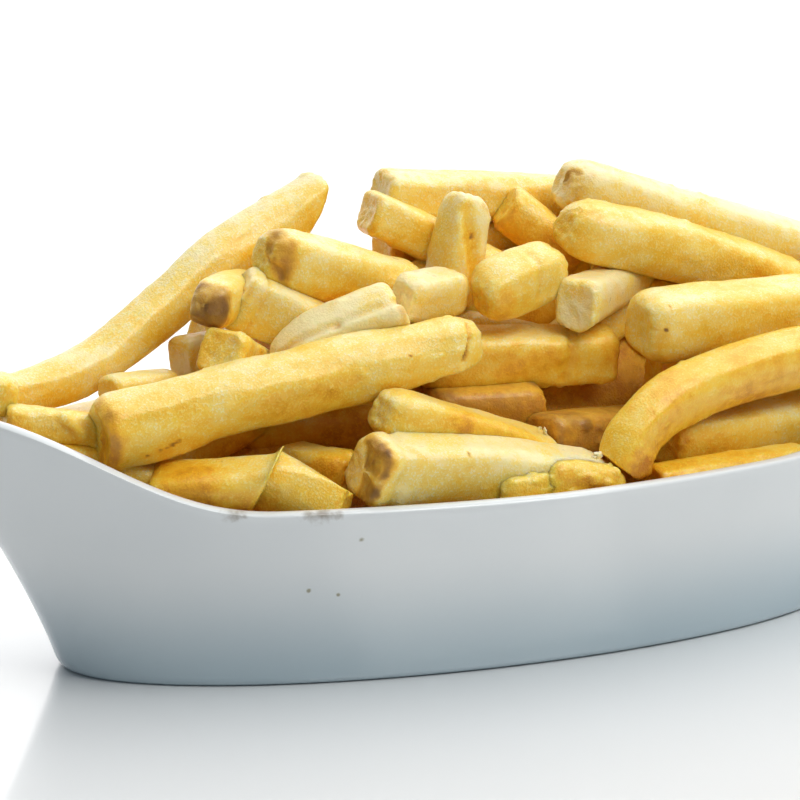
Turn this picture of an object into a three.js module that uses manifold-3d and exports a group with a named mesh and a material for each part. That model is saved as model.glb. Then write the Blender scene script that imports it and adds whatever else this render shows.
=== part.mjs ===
// A portion of thick-cut french fries heaped in a boat-shaped white porcelain dish.
// Millimetres, +Z up. The origin is the centre of the dish's foot on the table,
// +X runs along the dish and -Y is the side that the heap faces.
import * as THREE from "three";
import { mergeVertices } from "three/addons/utils/BufferGeometryUtils.js";
import Module from "manifold-3d";

// Dish
const FOOT_HALF_LENGTH = 78;
const FOOT_HALF_WIDTH = 31.8;
const RIM_HALF_LENGTH = 103.5;
const RIM_HALF_WIDTH = 39.8;
const FOOT_POWER = 2;
const RIM_POWER = 1.65;
const RIM_LOW = 34;
const RIM_RISE = 18.4;
const RISE_START = 46.6;
const RISE_END = 110.8;
const FLARE = 1.2;
const WALL = 3;
const FLOOR = 4;
const FLOOR_INSET = 6;
const FLOOR_ROUND = 4;
const FLOOR_SHARE = 0.06;
const FOOT_ROUND = 1.5;
const RIM_ROUND = 0.9;
const ROUND_MIDDLE = 1 - Math.SQRT1_2;
const SEGMENTS = 64;
const WALL_STEPS = 6;

// Mound: the hidden middle of the heap, a gap clear of the dish.
const GAP = 0.6;
const FILL_LEVEL = 31;
const MOUND_RISE = 37;
const MOUND_CREST = { x: 18, y: 14 };
const MOUND_REACH = { left: 88, right: 84, front: 27, back: 21 };
const MOUND_BACK_POWER = 1.2;
const MOUND_STEPS = 5;

// Fry: an eight-sided bar with rounded corners, cut off at both ends, where a slant leans the cut
// outwards at the top.
const FRY_SIDES = 8;
const CORNER_POWER = 5;
const RINGS = [0, 0.05, 0.25, 0.5, 0.75, 0.95, 1];
const END_FORMS = {
  flat: { tip: 0.88, shoulder: 1, slant: 0 },
  round: { tip: 0.64, shoulder: 0.93, slant: 0 },
  point: { tip: 0.4, shoulder: 0.8, slant: 0 },
  slant: { tip: 0.8, shoulder: 0.97, slant: 1 },
};

// The fries, one row each: the middles of both ends, the width and the depth at both ends, the
// roll in degrees, the bow upwards, the form of both ends, and for one a wave, up and then down.
const FRIES = [
  // Far left: the long one that leans up the back, and the small ones round its foot.
  [[-91, 4, 49.5], [-21.2, 20.6, 76.2], [7.8, 10.5], [7.8, 10.5], 10, -3.3, "flat", "slant", -2],
  [[-87, -5, 52], [-99, 0, 54.5], [9, 8], [8, 7], 0, 0, "round", "flat"],
  [[-90, -7.5, 49], [-64, -8, 43], [7, 7], [6, 6], 0, 0, "flat", "flat"],
  [[-68, 1, 49.5], [-50, 4, 49.5], [8, 8], [8, 8], 0, 0, "flat", "flat"],
  [[-57, 7, 54], [-42, 10, 54.5], [8, 8], [8, 8], 0, 0, "flat", "flat"],
  // Left of the middle, from the top down.
  [[-38, 1, 72.5], [-8, 5, 62.4], [11, 11], [11, 11], 15, 0, "round", "flat"],
  [[-52.5, -6, 65.5], [-37.5, 9.5, 64], [8.5, 8.5], [8.5, 8.5], 10, 0, "round", "flat"],
  [[-43, -6, 65.5], [-20, 10, 51.5], [11, 10], [11, 9], 20, 0, "flat", "flat"],
  [[-51, -10, 58], [-39, 2, 51], [9, 8], [9, 8], 10, 0, "flat", "flat"],
  [[-39, -6, 54], [-16.5, -11, 63], [8, 11], [9, 10], 35, 1, "point", "flat"],
  [[-76, -15, 46], [-4.5, -18, 57.5], [13, 10.5], [13, 10.5], 20, 0.5, "flat", "round"],
  // Top of the heap.
  [[-14.5, -8, 64], [-2, -3, 63.5], [9, 9], [9, 9], 10, 0, "flat", "flat"],
  [[0.5, -9, 62.5], [17.5, -4, 66.5], [11, 11], [11, 10], 15, 0, "round", "flat"],
  [[-0.5, 4, 60], [4, 5, 79.5], [10, 9], [9, 8], 0, 0, "flat", "round"],
  [[-6, 22, 77.5], [39, 22, 73], [11, 11], [9, 9], 0, 0, "flat", "flat"],
  [[-12, 14, 76], [4, 13, 68], [10, 10], [8, 9], 0, 0, "flat", "flat"],
  [[16, 14, 75], [28.5, 10, 64], [9, 9], [9, 9], 0, 0, "flat", "flat"],
  // Right of the middle, from the top down.
  [[25.5, 10, 79], [85, 10, 59], [11, 11], [11, 11], 15, 0, "round", "flat"],
  [[21, -1, 73.5], [70, 2, 57], [12, 11], [11, 11], 15, 1, "round", "flat"],
  [[17.5, -13, 60.5], [43, 9.5, 59], [9, 9], [11, 11], 5, 0, "flat", "flat"],
  [[28.5, -17, 57], [78, -10, 56], [13, 11], [13, 11], 10, 0, "flat", "flat"],
  [[-9.5, -4, 52], [28, -7, 50], [11, 11], [10.5, 10], 10, 0, "flat", "flat"],
  [[-7, -7, 43.5], [12, -11, 43], [10, 10], [9, 9], 0, 0, "flat", "flat"],
  [[16, -16, 38], [46, -8, 35], [10, 10], [9, 9], 0, 0, "flat", "flat"],
  [[17.5, -32, 35], [74, -22, 50.5], [11, 11], [11, 11], 10, 7, "flat", "flat"],
  [[30.5, -23, 36.5], [70, -15, 36.5], [11, 11], [10, 10], 10, 0, "flat", "flat"],
  [[32, -31, 34.5], [50, -26, 34.5], [8, 8], [8, 8], 10, 0, "flat", "flat"],
  // Along the near rim.
  [[-26.5, -25, 48], [9, -18, 37.5], [11, 10], [10, 9], 10, 1, "round", "flat"],
  [[-33, -32, 39.5], [16, -27, 33.5], [12, 11], [12, 11], 15, 0, "flat", "flat"],
  [[-6, -36, 36], [0.5, -35, 34.5], [5, 5], [5, 5], 0, 0, "round", "flat"],
  [[4.5, -35, 34.5], [12.5, -34, 34.5], [6, 6], [7, 6], 0, 0, "round", "round"],
  [[-65, -15, 36.5], [-49, -29.5, 39.5], [11, 10], [10.5, 10], 25, 0, "flat", "flat"],
  [[-49, -14, 40], [-38.5, -32, 37.5], [10, 8], [10, 7], 30, 0, "flat", "point"],
  [[-38, -10, 38.5], [-31, -22, 38], [9, 9], [9, 9], 0, 0, "flat", "flat"],
  // Deeper ones that carry these.
  [[-6, 21, 67.5], [40, 22, 64], [10, 10], [10, 10], 5, 0, "flat", "flat"],
  [[50, 13, 60.5], [77, 12, 53.5], [10, 10], [10, 10], 5, 0, "flat", "flat"],
  [[35, -9.5, 46], [74, -11, 45.5], [9.5, 9], [9.5, 9.5], 5, 0, "flat", "flat"],
  [[-70, 8, 37], [-36, 5, 46.5], [9, 9], [9, 9], 5, 0, "flat", "flat"],
  [[-88, 2, 39.5], [-60, -3, 37], [9, 9], [9, 9], 10, 0, "flat", "flat"],
  [[-84, -7.5, 42], [-64, -14.5, 35.5], [8, 8], [8, 8], 10, 0, "flat", "flat"],
  // Far side, from the rim up.
  [[-80, 11, 46.5], [-58, 20, 47], [9, 9], [8.5, 9], 10, 0, "flat", "flat"],
  [[-69, 15, 37.5], [-45, 24, 38], [10, 10], [10, 10], 10, 0, "flat", "flat"],
  [[-46, 29.5, 39.5], [0, 34, 40], [10, 9], [10, 9.5], 5, 0, "flat", "flat"],
  [[4, 34, 40.5], [44, 30, 41], [9.5, 10], [10, 10], 10, 0, "flat", "flat"],
  [[46, 28, 40.5], [76, 15, 43], [10, 9], [10, 9.5], 10, 0, "flat", "flat"],
  [[-44, 19, 55], [-8, 31, 48], [10.5, 10], [10, 10], 10, 0, "round", "flat"],
  [[-2, 32, 48.5], [34, 29, 51], [10, 10], [10, 9.5], 15, 0, "flat", "flat"],
  [[40, 26, 53.5], [70, 19, 52.5], [10, 10], [9.5, 10], 10, 1, "flat", "round"],
  [[-34, 18, 62], [0, 28, 59], [10, 10], [10, 10], 15, 0, "flat", "flat"],
  [[3, 31, 59], [34, 29, 60.5], [9.5, 10], [9.5, 10], 10, 1, "flat", "flat"],
  // Right end.
  [[58, -6, 38.5], [90, -4.5, 46], [10, 10], [10, 9.5], 5, 0, "flat", "flat"],
  [[60, 5, 40], [86, 4.5, 46], [10, 9], [9.5, 9], 5, 0, "flat", "round"],
  [[77, 15, 49], [95, 3, 51.5], [8.5, 8.5], [8.5, 8.5], 10, 0, "flat", "flat"],
  [[79, -12.5, 47.5], [96, -3, 54], [9, 9], [9, 8.5], 20, 0, "flat", "flat"],
  [[85, 1, 54], [102, -1, 58], [8, 8], [8, 7.5], 0, 0, "flat", "round"],
];

const mix = (a, b, t) => a + (b - a) * t;
const clamp01 = (t) => Math.min(Math.max(t, 0), 1);
const signedPower = (value, power) => Math.sign(value) * Math.abs(value) ** power;

// Height of the rim above the table: low along the sides, smoothly rising to the pointed ends.
function rimHeight(x) {
  const t = clamp01((Math.abs(x) - RISE_START) / (RISE_END - RISE_START));
  return RIM_LOW + RIM_RISE * t ** 3 * (t * (6 * t - 15) + 10);
}

// Point of a superellipse, an oval that a power under 2 draws out to pointed ends.
function ovalPoint(halfLength, halfWidth, power, angle) {
  const x = halfLength * signedPower(Math.cos(angle), 2 / power);
  const y = halfWidth * signedPower(Math.sin(angle), 2 / power);
  return [x, y];
}

// Point of the dish's side: flared from the foot's oval to the rim's, at a share of the rim's height.
function sidePoint(angle, share, inset, low) {
  const outwards = inset ? 0 : WALL;
  const foot = ovalPoint(FOOT_HALF_LENGTH - inset, FOOT_HALF_WIDTH - inset, FOOT_POWER, angle);
  const rim = ovalPoint(RIM_HALF_LENGTH + outwards, RIM_HALF_WIDTH + outwards, RIM_POWER, angle);
  const flare = share ** FLARE;
  const top = rimHeight(rim[0]);
  return [mix(foot[0], rim[0], flare), mix(foot[1], rim[1], flare), mix(low, top, share)];
}

// Closed mesh over rings of equal count, from the lowest middle point to the highest one.
function latticeGeometry(first, rings, last) {
  const count = rings[0].length;
  const points = [first, ...rings.flat(), last];
  const faces = [];
  const at = (ring, step) => 1 + ring * count + (step % count);
  for (let step = 0; step < count; step += 1) {
    faces.push(0, at(0, step + 1), at(0, step));
    faces.push(points.length - 1, at(rings.length - 1, step), at(rings.length - 1, step + 1));
    for (let ring = 0; ring + 1 < rings.length; ring += 1) {
      faces.push(at(ring, step), at(ring, step + 1), at(ring + 1, step + 1));
      faces.push(at(ring, step), at(ring + 1, step + 1), at(ring + 1, step));
    }
  }
  const geometry = new THREE.BufferGeometry();
  geometry.setAttribute("position", new THREE.Float32BufferAttribute(points.flat(), 3));
  geometry.setIndex(faces);
  return geometry;
}

const ANGLES = Array.from({ length: SEGMENTS }, (_, i) => (2 * Math.PI * i) / SEGMENTS);

// Level oval, smaller than the foot.
function footRing(inset, z) {
  return ANGLES.map((angle) => {
    return [...ovalPoint(FOOT_HALF_LENGTH - inset, FOOT_HALF_WIDTH - inset, FOOT_POWER, angle), z];
  });
}

// Dish: up the outside, over the rounded rim and down the inside to the floor.
function dishGeometry() {
  const bevel = FOOT_ROUND * ROUND_MIDDLE;
  const rings = [footRing(FOOT_ROUND, 0), footRing(bevel, bevel)];
  const shoulder = 1 - RIM_ROUND / RIM_LOW;
  for (let step = 0; step < WALL_STEPS; step += 1) {
    const share = mix(FOOT_ROUND / RIM_LOW, shoulder, step / (WALL_STEPS - 1));
    rings.push(ANGLES.map((angle) => sidePoint(angle, share, 0, 0)));
  }
  for (const inwards of [RIM_ROUND, WALL - RIM_ROUND]) {
    rings.push(ANGLES.map((angle) => {
      const grown = WALL - inwards;
      const rim = ovalPoint(RIM_HALF_LENGTH + grown, RIM_HALF_WIDTH + grown, RIM_POWER, angle);
      return [...rim, rimHeight(rim[0])];
    }));
  }
  for (let step = 0; step < WALL_STEPS; step += 1) {
    const share = mix(shoulder, FLOOR_SHARE, step / (WALL_STEPS - 1));
    rings.push(ANGLES.map((angle) => sidePoint(angle, share, FLOOR_INSET, FLOOR)));
  }
  rings.push(footRing(FLOOR_INSET + FLOOR_ROUND, FLOOR));
  return latticeGeometry([0, 0, 0], rings, [0, 0, FLOOR]);
}

// Height of the mound: level at the dish's side, and a crest that is set back from the near side.
function moundHeight(x, y) {
  const length = x < MOUND_CREST.x ? MOUND_REACH.left : MOUND_REACH.right;
  const along = 1 - ((x - MOUND_CREST.x) / length) ** 2;
  const front = 1 - ((y - MOUND_CREST.y) / MOUND_REACH.front) ** 2;
  const back = 1 - Math.max((y - MOUND_CREST.y) / MOUND_REACH.back, 0) ** MOUND_BACK_POWER;
  const across = y < MOUND_CREST.y ? front : back;
  return FILL_LEVEL + MOUND_RISE * clamp01(along) * clamp01(across);
}

// Mound: a gap clear of the dish's inside up to the fill level, and the mound's height over that.
function moundGeometry() {
  const rings = [footRing(FLOOR_INSET + FLOOR_ROUND + GAP, FLOOR + GAP)];
  for (const level of [0, 0.5, 1]) {
    rings.push(ANGLES.map((angle) => {
      const top = sidePoint(angle, 1, FLOOR_INSET, FLOOR)[2];
      const share = mix(FLOOR_SHARE, (FILL_LEVEL - FLOOR) / (top - FLOOR), level);
      const [x, y, z] = sidePoint(angle, share, FLOOR_INSET, FLOOR);
      const shrink = 1 - GAP / Math.hypot(x, y);
      return [x * shrink, y * shrink, z + GAP];
    }));
  }
  const outline = rings[rings.length - 1];
  for (let step = 1; step < MOUND_STEPS; step += 1) {
    rings.push(outline.map(([x, y]) => {
      const inwards = step / MOUND_STEPS;
      const px = mix(x, MOUND_CREST.x, inwards);
      const py = mix(y, MOUND_CREST.y, inwards);
      return [px, py, moundHeight(px, py) + GAP];
    }));
  }
  const crest = [MOUND_CREST.x, MOUND_CREST.y, FILL_LEVEL + MOUND_RISE + GAP];
  return latticeGeometry([0, 0, FLOOR + GAP], rings, crest);
}

// Fry: a bar between the middles of its two ends, turned about its length, bowed and waved upwards.
function fryGeometry([from, to, wide, deep, roll, bow, startForm, endForm, wave = 0]) {
  const start = new THREE.Vector3(...from);
  const end = new THREE.Vector3(...to);
  const along = end.clone().sub(start).normalize();
  const level = new THREE.Vector3(0, 0, 1).cross(along).normalize();
  const upright = along.clone().cross(level);
  const turn = THREE.MathUtils.degToRad(roll);
  const side = level.clone().multiplyScalar(Math.cos(turn)).addScaledVector(upright, Math.sin(turn));
  const top = along.clone().cross(side);
  const rings = RINGS.map((t, ring) => {
    const form = END_FORMS[t < 0.5 ? startForm : endForm];
    const fromEnd = Math.min(ring, RINGS.length - 1 - ring);
    const scale = [form.tip, form.shoulder, 1, 1][fromEnd];
    const lean = fromEnd < 2 ? form.slant * Math.sign(t - 0.5) : 0;
    const arch = bow * (1 - (2 * t - 1) ** 2) + wave * Math.sin(2 * Math.PI * t);
    const middle = start.clone().lerp(end, t).addScaledVector(upright, arch);
    return Array.from({ length: FRY_SIDES }, (_, i) => {
      const [u, v] = ovalPoint(1, 1, CORNER_POWER, (2 * Math.PI * (i + 0.5)) / FRY_SIDES);
      const across = (u * scale * mix(wide[0], wide[1], t)) / 2;
      const above = (v * scale * mix(deep[0], deep[1], t)) / 2;
      const point = middle.clone().addScaledVector(along, lean * above);
      return point.addScaledVector(side, across).addScaledVector(top, above).toArray();
    });
  });
  return latticeGeometry(from, rings, to);
}

const wasm = await Module();
wasm.setup();

function solidOf(geometry) {
  const merged = mergeVertices(geometry);
  const mesh = new wasm.Mesh({
    numProp: 3,
    vertProperties: new Float32Array(merged.attributes.position.array),
    triVerts: new Uint32Array(merged.index.array),
  });
  return new wasm.Manifold(mesh);
}

function geometryOf(solid) {
  const mesh = solid.getMesh();
  const geometry = new THREE.BufferGeometry();
  geometry.setAttribute("position", new THREE.BufferAttribute(new Float32Array(mesh.vertProperties), 3));
  geometry.setIndex(Array.from(mesh.triVerts));
  return geometry;
}

// Heap: the mound with every fry joined on. Only the outer skin is kept, so hollows are filled.
function heapGeometry(rows) {
  let heap = solidOf(moundGeometry());
  for (const row of rows) {
    heap = heap.add(solidOf(fryGeometry(row)));
  }
  const pieces = heap.decompose();
  pieces.sort((a, b) => b.volume() - a.volume());
  return geometryOf(pieces[0]);
}

function namedMesh(name, geometry, color, roughness) {
  const mesh = new THREE.Mesh(geometry, new THREE.MeshStandardMaterial({ color, roughness, metalness: 0 }));
  mesh.name = name;
  return mesh;
}

const portion = new THREE.Group();
portion.add(namedMesh("dish", dishGeometry(), 0xf2f4f6, 0.12));
portion.add(namedMesh("fries", heapGeometry(FRIES), 0xe6bf62, 0.55));

export default portion;
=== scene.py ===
# A portion of thick-cut french fries heaped in a boat-shaped white porcelain dish.
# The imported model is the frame. Sizes in the dictionaries are millimetres; meshes are in metres.
import math
import bpy
import numpy as np
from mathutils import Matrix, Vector


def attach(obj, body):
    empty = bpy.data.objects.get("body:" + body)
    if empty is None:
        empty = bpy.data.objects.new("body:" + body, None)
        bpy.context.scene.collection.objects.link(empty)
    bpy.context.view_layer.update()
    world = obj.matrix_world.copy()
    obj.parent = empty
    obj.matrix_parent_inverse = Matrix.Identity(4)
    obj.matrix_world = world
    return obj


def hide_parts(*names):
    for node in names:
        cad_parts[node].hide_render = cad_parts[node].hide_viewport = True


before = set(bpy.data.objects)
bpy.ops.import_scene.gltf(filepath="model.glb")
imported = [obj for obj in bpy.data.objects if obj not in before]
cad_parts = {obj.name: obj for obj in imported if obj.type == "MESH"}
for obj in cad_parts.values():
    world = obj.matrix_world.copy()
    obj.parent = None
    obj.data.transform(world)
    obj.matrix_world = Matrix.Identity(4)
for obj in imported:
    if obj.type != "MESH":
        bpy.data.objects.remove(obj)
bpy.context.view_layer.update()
mm = 0.001
print("frame loaded:", len(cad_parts), "nodes")


viewpoint = {
    "azimuth": -24,  # degrees round from the front, towards the left end
    "elevation": 13,
    "distance": 900,
    "target": (-11.7, 0, 43.4),
    "focalLength": 221.8,
    "sensor": 36,
}

studio = {
    "bright": (0.40, 0.89, 0.20),  # where the white backdrop stands, behind the dish
    "reach": (0.45, 0.85),  # cosine from there at which its light starts, and is full
    "dim": (0.26, (0.82, 0.92, 1.0)),  # strength and colour away from it
    "full": (1.5, (1.0, 1.0, 1.0)),
    "backdrop": (1.0, 1.0, 1.0),
    "key": {"place": (260, 120, 1000), "aim": (0, 0, 40), "size": (1300, 1500), "watts": 7.9,
            "colour": (1.0, 0.995, 0.985)},
    "front": {"place": (340, -680, 1010), "aim": (0, 0, 45), "size": (760, 640), "watts": 8.1,
              "colour": (1.0, 0.985, 0.95)},
}


def aimedAt(thing, place, target):
    # the object's -Z axis points from its place to the target, +Y stays up
    thing.location = Vector(place) * mm
    thing.rotation_euler = (Vector(target) - Vector(place)).to_track_quat("-Z", "Y").to_euler()


def placeCamera(viewpoint):
    # on a sphere round the target: right by sin(azimuth), nearer by cos(azimuth), up by sin(elevation)
    azimuth, elevation = (math.radians(viewpoint[k]) for k in ("azimuth", "elevation"))
    level = math.cos(elevation)
    away = Vector((math.sin(azimuth) * level, -math.cos(azimuth) * level, math.sin(elevation)))
    data = bpy.data.cameras.new("camera")
    data.lens = viewpoint["focalLength"]
    data.sensor_width = viewpoint["sensor"]
    data.clip_start = 0.01
    camera = bpy.data.objects.new("camera", data)
    bpy.context.collection.objects.link(camera)
    aimedAt(camera, Vector(viewpoint["target"]) + away * viewpoint["distance"], viewpoint["target"])
    bpy.context.scene.camera = camera


def placeSoftbox(name, box):
    data = bpy.data.lights.new(name, "AREA")
    data.shape = "RECTANGLE"
    data.size, data.size_y = box["size"][0] * mm, box["size"][1] * mm
    data.energy = box["watts"]
    data.color = box["colour"]
    lamp = bpy.data.objects.new(name, data)
    bpy.context.collection.objects.link(lamp)
    aimedAt(lamp, box["place"], box["aim"])


def addNode(tree, kind, place=(0, 0), **values):
    # a node of that kind; values are its own settings or, with a leading capital, its input sockets
    node = tree.nodes.new(kind)
    node.location = place
    for name, value in values.items():
        if name[0].isupper() or name.isdigit():
            node.inputs[name.replace("_", " ")].default_value = value
        else:
            setattr(node, name, value)
    return node


def rampNode(tree, stops, place):
    # colour ramp from (position, (r, g, b)) stops
    ramp = addNode(tree, "ShaderNodeValToRGB", place)
    elements = ramp.color_ramp.elements
    while len(elements) < len(stops):
        elements.new(0.5)
    for element, (position, colour) in zip(elements, stops):
        element.position = position
        element.color = (*colour, 1)
    return ramp


def mathNode(tree, operation, a, b, place, clamp=False):
    node = addNode(tree, "ShaderNodeMath", place, operation=operation, use_clamp=clamp)
    for socket, value in zip(node.inputs, (a, b)):
        if isinstance(value, (int, float)):
            socket.default_value = value
        else:
            tree.links.new(value, socket)
    return node.outputs[0]


def rangeNode(tree, value, low, high, toLow, toHigh, place):
    node = addNode(tree, "ShaderNodeMapRange", place, interpolation_type="SMOOTHSTEP")
    node.inputs["From Min"].default_value, node.inputs["From Max"].default_value = low, high
    node.inputs["To Min"].default_value, node.inputs["To Max"].default_value = toLow, toHigh
    tree.links.new(value, node.inputs["Value"])
    return node.outputs["Result"]


def objectCoordinates(tree):
    # the tree's one Texture Coordinate node, made when it is first asked for
    node = tree.nodes.get("coordinates")
    node = node or addNode(tree, "ShaderNodeTexCoord", (-1800, 0), name="coordinates")
    return node.outputs["Object"]


def noiseNode(tree, scale, detail, place, roughness=0.5):
    node = addNode(tree, "ShaderNodeTexNoise", place, Scale=scale, Detail=detail, Roughness=roughness)
    tree.links.new(objectCoordinates(tree), node.inputs["Vector"])
    return node.outputs["Fac"]


def mixColour(tree, mask, a, b, place, blend="MIX"):
    node = addNode(tree, "ShaderNodeMix", place, data_type="RGBA", blend_type=blend)
    for socket, value in ((node.inputs[0], mask), (node.inputs[6], a), (node.inputs[7], b)):
        if isinstance(value, (int, float)):
            socket.default_value = value
        elif isinstance(value, tuple):
            socket.default_value = (*value, 1)
        else:
            tree.links.new(value, socket)
    return node.outputs[2]


def lightRoom(studio):
    # the world: plain white for the eye; the light that falls on things goes from the dim side of the
    # room to the bright side by the dot product of its direction with the bright side's
    world = bpy.data.worlds.new("studio")
    bpy.context.scene.world = world
    world.use_nodes = True
    tree = world.node_tree
    tree.nodes.clear()
    ray = addNode(tree, "ShaderNodeLightPath", (-600, 300))
    direction = addNode(tree, "ShaderNodeTexCoord", (-1000, 0))
    toBright = addNode(tree, "ShaderNodeVectorMath", (-800, 0), operation="DOT_PRODUCT")
    toBright.inputs[1].default_value = Vector(studio["bright"]).normalized()
    share = rangeNode(tree, toBright.outputs["Value"], *studio["reach"], 0, 1, (-600, 0))
    colour = mixColour(tree, share, studio["dim"][1], studio["full"][1], (-450, -150))
    level = mathNode(tree, "MULTIPLY_ADD", share, studio["full"][0] - studio["dim"][0], (-450, 100))
    level.node.inputs[2].default_value = studio["dim"][0]
    fill = addNode(tree, "ShaderNodeBackground", (-300, 0))
    shown = addNode(tree, "ShaderNodeBackground", (-300, -160), Color=(*studio["backdrop"], 1), Strength=1.0)
    either = addNode(tree, "ShaderNodeMixShader", (0, 0))
    out = addNode(tree, "ShaderNodeOutputWorld", (200, 0))
    tree.links.new(direction.outputs["Generated"], toBright.inputs[0])
    tree.links.new(colour, fill.inputs["Color"])
    tree.links.new(level, fill.inputs["Strength"])
    tree.links.new(ray.outputs["Is Camera Ray"], either.inputs[0])
    tree.links.new(fill.outputs[0], either.inputs[1])
    tree.links.new(shown.outputs[0], either.inputs[2])
    tree.links.new(either.outputs[0], out.inputs[0])
    for name in ("key", "front"):
        placeSoftbox(name + "Softbox", studio[name])
    bpy.context.scene.view_settings.view_transform = "Standard"


placeCamera(viewpoint)
lightRoom(studio)
print("camera and light set")


noiseDirections = np.random.default_rng(11).normal(size=(256, 3))
noiseDirections /= np.linalg.norm(noiseDirections, axis=1, keepdims=True)


def gradientNoise(points, seed=0):
    # Every cell corner has its own direction, picked by large primes; the dot product with the way
    # from the corner to the point is blended by the fade 6t^5 - 15t^4 + 10t^3. About -1 to 1.
    cell = np.floor(points).astype(np.int64)
    away = points - cell
    fade = away**3 * (away * (away * 6 - 15) + 10)
    total = np.zeros(points.shape[:-1])
    for corner in np.ndindex(2, 2, 2):
        mark = ((cell + corner) * (73856093, 19349663, 83492791)).astype(np.int64)
        mark = mark[..., 0] ^ mark[..., 1] ^ mark[..., 2] ^ (seed * 15485863)
        mark = (mark ^ (mark >> 15)) * 668265263 % 2147483647
        direction = noiseDirections[(mark ^ (mark >> 9)) % len(noiseDirections)]
        weight = np.prod(np.where(corner, fade, 1 - fade), axis=-1)
        total += weight * ((away - corner) * direction).sum(-1)
    return total * 1.7


def smooth(low, high, value):
    # 0 below low, 1 above high, and 3t^2 - 2t^3 between
    t = np.clip((value - low) / (high - low), 0, 1)
    return t * t * (3 - 2 * t)


def mix(a, b, t):
    return a + (b - a) * t


def signedPower(value, power):
    return np.sign(value) * np.abs(value) ** power


def gridNormals(grid):
    # the way round a ring crossed with the way along the rings
    around = np.roll(grid, -1, axis=1) - np.roll(grid, 1, axis=1)
    along = np.gradient(grid, axis=0)
    normal = np.cross(around, along)
    return normal / np.maximum(np.linalg.norm(normal, axis=-1, keepdims=True), 1e-9)


def closedGrid(grid, first, last):
    # rings of equal count that close round, with a middle point at both ends; faces point outwards
    rings, count = grid.shape[:2]
    points = np.concatenate([first[None], grid.reshape(-1, 3), last[None]])
    ring, step = (a.ravel() for a in np.meshgrid(np.arange(rings - 1), np.arange(count), indexing="ij"))
    after = (step + 1) % count
    here, above = ring * count, (ring + 1) * count
    quads = 1 + np.stack([here + step, here + after, above + after, above + step], 1)
    step = np.arange(count)
    after = (step + 1) % count
    start = np.stack([np.zeros_like(step), 1 + after, 1 + step], 1)
    final = 1 + (rings - 1) * count
    end = np.stack([np.full_like(step, len(points) - 1), final + step, final + after], 1)
    return points, quads, np.concatenate([start, end])


def makePiece(name, parts, material):
    # parts: (points in mm, quads, triangles, {attribute: values}); joined to one mesh in metres
    points, corners, starts, values = [], [], [], {}
    base, loop = 0, 0
    for part in parts:
        points.append(part[0])
        for faces in part[1:3]:
            corners.append((faces + base).ravel())
            starts.append(loop + np.arange(len(faces)) * faces.shape[1])
            loop += faces.size
        base += len(part[0])
        for key, value in part[3].items():
            values.setdefault(key, []).append(value)
    points, corners, starts = (np.concatenate(a) for a in (points, corners, starts))
    mesh = bpy.data.meshes.new(name)
    mesh.vertices.add(len(points))
    mesh.vertices.foreach_set("co", (points * mm).ravel())
    mesh.loops.add(len(corners))
    mesh.loops.foreach_set("vertex_index", corners.astype(np.int32))
    mesh.polygons.add(len(starts))
    mesh.polygons.foreach_set("loop_start", starts.astype(np.int32))
    mesh.update(calc_edges=True)
    mesh.polygons.foreach_set("use_smooth", np.ones(len(starts), bool))
    for key, value in values.items():
        layer = mesh.attributes.new(key, "FLOAT", "POINT")
        layer.data.foreach_set("value", np.concatenate(value).astype(np.float32))
    mesh.materials.append(material)
    piece = bpy.data.objects.new(name, mesh)
    bpy.context.collection.objects.link(piece)
    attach(piece, "root")
    triangles = sum(len(faces) * (faces.shape[1] - 2) for part in parts for faces in part[1:3])
    print(name, "-", len(points), "points,", triangles, "triangles")
    return piece


def newMaterial(name, **values):
    material = bpy.data.materials.new(name)
    material.use_nodes = True
    tree = material.node_tree
    tree.nodes.clear()
    shader = addNode(tree, "ShaderNodeBsdfPrincipled", (500, 0))
    for key, value in values.items():
        shader.inputs[key.replace("_", " ")].default_value = value
    out = addNode(tree, "ShaderNodeOutputMaterial", (800, 0))
    tree.links.new(shader.outputs[0], out.inputs[0])
    return material, tree, shader


def bumpInto(tree, height, shader, strength, distance, place):
    bump = addNode(tree, "ShaderNodeBump", place, Strength=strength, Distance=distance * mm)
    tree.links.new(height, bump.inputs["Height"])
    tree.links.new(bump.outputs[0], shader.inputs["Normal"])


crust = {
    "tones": [(0.0, (0.97, 0.80, 0.42)), (0.25, (0.97, 0.71, 0.17)), (0.5, (0.96, 0.60, 0.05)),
              (0.7, (0.90, 0.48, 0.018)), (0.85, (0.75, 0.35, 0.009)), (1.0, (0.60, 0.22, 0.005))],
    "toast": [(0.0, (0.80, 0.44, 0.05)), (0.5, (0.50, 0.24, 0.022)), (1.0, (0.11, 0.045, 0.01))],
    "patch": 80, "mottle": 420, "grain": 2600, "pits": 1300,  # waves to the metre
    "drift": 0.13, "fine": 0.11,  # how far the patches and the mottle move the tone
    "specks": (0.52, 0.66),  # of the grain: from there up it is a pale dot
    "dot": 0.28, "dotFade": (0.45, 0.8, 1, 0.35),  # how pale, and its share on lighter and deeper tones
    "cutPaler": 0.03,
    "ragged": 0.08,  # how far the mottle moves the edge of a toasted patch
    "browned": (0.04, 0.75),  # toast at which the brown starts to show, and is full
    "roughness": (0.26, 0.5), "dry": (0.1, 0.5, 0, 0.25),  # by the mottle, and added by the toast
    "height": (0.7, 0.5), "depth": 0.55,  # shares of grain and pits in the bump, and its depth
}


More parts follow.
